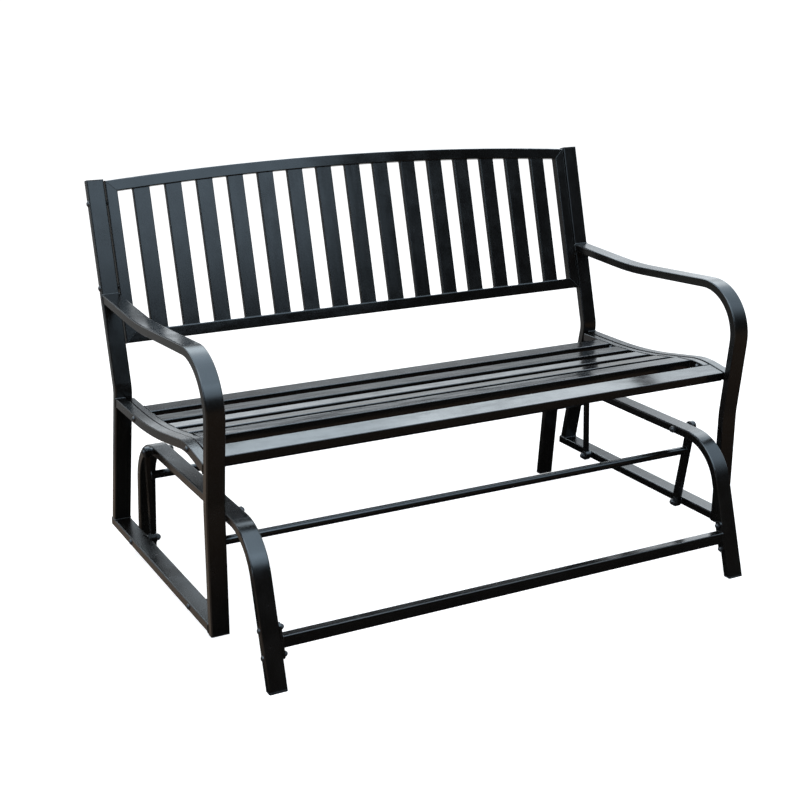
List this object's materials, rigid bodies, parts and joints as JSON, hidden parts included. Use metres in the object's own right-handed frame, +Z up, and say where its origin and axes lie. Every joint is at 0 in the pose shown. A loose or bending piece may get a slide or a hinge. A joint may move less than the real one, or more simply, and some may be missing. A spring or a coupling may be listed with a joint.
{
  "type": "glider bench",
  "caption": "Slatted metal patio glider bench: a seat with bent-tube arms swings on four links under two floor arches.",
  "frame": {"origin": "on the floor, under the middle of the whole bench's box with the seat at rest", "axes": "+X along the bench to the sitter's left, -Y towards the front, +Z up"},
  "size_m": [1.2776, 0.8176, 0.8777],
  "materials": {
    "frame_black": "satin",
    "cap_plastic": "matte",
    "bolt_black": "satin"
  },
  "bodies": {
    "base": {"base_frame_left": "frame_black", "base_frame_right": "frame_black", "front_crossbar": "frame_black", "crossbar_plates": "frame_black", "foot_caps": "cap_plastic", "crossbar_bolts": "bolt_black", "crossbar_nuts": "bolt_black", "upper_pivot_bolts": "bolt_black", "upper_pivot_nuts": "bolt_black", "upper_pivot_spacers": "bolt_black"},
    "front_links": {"front_link_left": "frame_black", "front_link_right": "frame_black", "front_spreader_bar": "frame_black", "front_link_bushings": "cap_plastic"},
    "rear_links": {"rear_link_left": "frame_black", "rear_link_right": "frame_black", "rear_spreader_bar": "frame_black", "rear_link_bushings": "cap_plastic"},
    "seat": {"runner_left": "frame_black", "runner_right": "frame_black", "arm_and_leg_left": "frame_black", "arm_and_leg_right": "frame_black", "rear_post_left": "frame_black", "rear_post_right": "frame_black", "seat_rail_left": "frame_black", "seat_rail_right": "frame_black", "tube_plugs": "cap_plastic", "seat_side_left": "frame_black", "seat_side_right": "frame_black", "seat_front_rail": "frame_black", "seat_slat_01": "frame_black", "seat_slat_02": "frame_black", "seat_slat_03": "frame_black", "seat_slat_04": "frame_black", "seat_slat_05": "frame_black", "back_stile_left": "frame_black", "back_stile_right": "frame_black", "back_top_rail": "frame_black", "back_bottom_rail": "frame_black", "back_slat_01": "frame_black", "back_slat_02": "frame_black", "back_slat_03": "frame_black", "back_slat_04": "frame_black", "back_slat_05": "frame_black", "back_slat_06": "frame_black", "back_slat_07": "frame_black", "back_slat_08": "frame_black", "back_slat_09": "frame_black", "back_slat_10": "frame_black", "back_slat_11": "frame_black", "back_slat_12": "frame_black", "back_slat_13": "frame_black", "back_slat_14": "frame_black", "back_slat_15": "frame_black", "panel_bolts": "bolt_black", "seat_bolt_nuts": "bolt_black", "back_bolt_inserts": "bolt_black", "lower_pivot_bolts": "bolt_black", "lower_pivot_nuts": "bolt_black", "lower_pivot_spacers": "bolt_black"}
  },
  "joints": [
    {"name": "front_link_swing", "type": "hinge", "parent": "base", "child": "front_links", "pos_m": [0, -0.18677, 0.2855], "axis": [1, 0, 0], "range_deg": [-12, 12]},
    {"name": "rear_link_swing", "type": "hinge", "parent": "base", "child": "rear_links", "pos_m": [0, 0.22523, 0.2855], "axis": [1, 0, 0], "range_deg": [-12.1, 12.1]},
    {"name": "seat_rock", "type": "hinge", "parent": "front_links", "child": "seat", "pos_m": [0, -0.15221, 0.0875], "axis": [1, 0, 0], "range_deg": [-13.6, 13.6]}
  ],
  "couplings": [
    {"joint": "rear_link_swing", "follows": "front_link_swing", "ratio": 1.0002},
    {"joint": "seat_rock", "follows": "front_link_swing", "ratio": -1.126}
  ]
}
